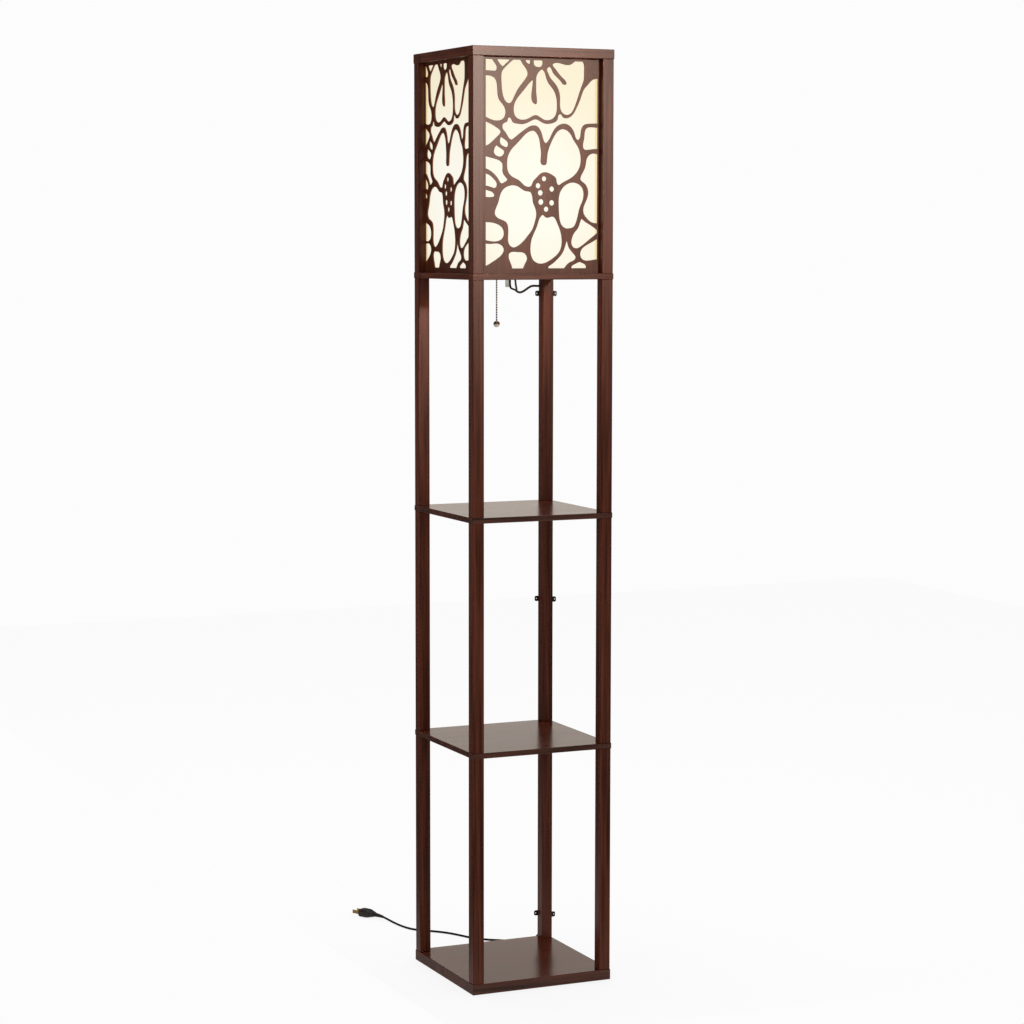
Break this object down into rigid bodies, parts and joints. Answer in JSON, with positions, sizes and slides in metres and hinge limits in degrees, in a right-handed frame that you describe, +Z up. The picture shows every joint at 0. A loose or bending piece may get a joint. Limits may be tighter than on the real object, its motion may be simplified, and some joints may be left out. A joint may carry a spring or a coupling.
{
  "type": "floor lamp",
  "caption": "Square wooden tower lamp with open shelves between corner posts and a fretwork light box on top, switched by a pull chain",
  "frame": {"origin": "middle of the square footprint, on the floor", "axes": "+Z up along the tower, front face towards -Y, left face towards -X, cord down the rear right post"},
  "size_m": [0.2655, 0.6174, 1.6],
  "materials": {
    "stained_board": "dark brown stained wood, satin",
    "stained_wood": "dark brown stained wood, satin",
    "fret_wood": "dark brown stained fretwork, satin",
    "diffuser_sheet": "pale translucent sheet, matte",
    "dark_plastic": "black plastic",
    "zinc_steel": "zinc plated",
    "holder_metal": "brass shell",
    "contact_brass": "plain brass",
    "sleeve_card": "insulating card",
    "bulb_metal": "bulb cap",
    "bulb_glass": "frosted glass",
    "chain_metal": "bright beads",
    "knob_metal": "antique brass",
    "cord_vinyl": "black vinyl"
  },
  "bodies": {
    "lamp": {"bar_screws": "zinc_steel", "base_board": "stained_board", "base_post_front_left": "stained_wood", "base_post_front_right": "stained_wood", "base_post_rear_left": "stained_wood", "base_post_rear_right": "stained_wood", "bulb_base": "bulb_metal", "bulb_glass": "bulb_glass", "center_contact": "contact_brass", "chain_guide": "holder_metal", "cord_clips": "dark_plastic", "diffuser_front": "diffuser_sheet", "diffuser_left": "diffuser_sheet", "diffuser_rear": "diffuser_sheet", "diffuser_right": "diffuser_sheet", "floor_cord": "cord_vinyl", "floor_rail_front": "stained_wood", "floor_rail_left": "stained_wood", "floor_rail_rear": "stained_wood", "floor_rail_right": "stained_wood", "foot_glides": "dark_plastic", "fret_panel_front": "fret_wood", "fret_panel_left": "fret_wood", "fret_panel_rear": "fret_wood", "fret_panel_right": "fret_wood", "held_cord": "cord_vinyl", "holder_bar": "zinc_steel", "holder_cap": "holder_metal", "holder_nipple": "zinc_steel", "holder_shell": "holder_metal", "insulating_sleeve": "sleeve_card", "joint_studs": "zinc_steel", "lamp_post_front_left": "stained_wood", "lamp_post_front_right": "stained_wood", "lamp_post_rear_left": "stained_wood", "lamp_post_rear_right": "stained_wood", "lower_shelf": "stained_board", "middle_post_front_left": "stained_wood", "middle_post_front_right": "stained_wood", "middle_post_rear_left": "stained_wood", "middle_post_rear_right": "stained_wood", "nipple_nuts": "zinc_steel", "plug_blades": "contact_brass", "plug_body": "cord_vinyl", "post_screws": "zinc_steel", "screw_shell": "contact_brass", "switch_block": "dark_plastic", "top_rail_front": "stained_wood", "top_rail_left": "stained_wood", "top_rail_rear": "stained_wood", "top_rail_right": "stained_wood", "upper_post_front_left": "stained_wood", "upper_post_front_right": "stained_wood", "upper_post_rear_left": "stained_wood", "upper_post_rear_right": "stained_wood", "upper_shelf": "stained_board"},
    "chain_puller": {"chain_lead": "chain_metal"},
    "chain": {"chain_knob": "knob_metal", "pull_chain": "chain_metal"},
    "drum": {"switch_drum": "dark_plastic"}
  },
  "joints": [
    {"name": "chain_pull", "type": "slide", "parent": "lamp", "child": "chain_puller", "axis": [0, 0, -1], "range_m": [0, 0.008], "stiffness_N_per_m": 400},
    {"name": "chain_swing", "type": "hinge", "parent": "chain_puller", "child": "chain", "pos_m": [-0.0295, 0, 1.2445], "axis": [0, 1, 0], "range_deg": [-12, 12]},
    {"name": "switch_turn", "type": "hinge", "parent": "lamp", "child": "drum", "pos_m": [-0.014, 0, 1.2575], "axis": [0, 1, 0], "range_deg": [0, 92]}
  ],
  "couplings": [
    {"joint": "switch_turn", "follows": "chain_pull", "rad_per_m": 200}
  ]
}
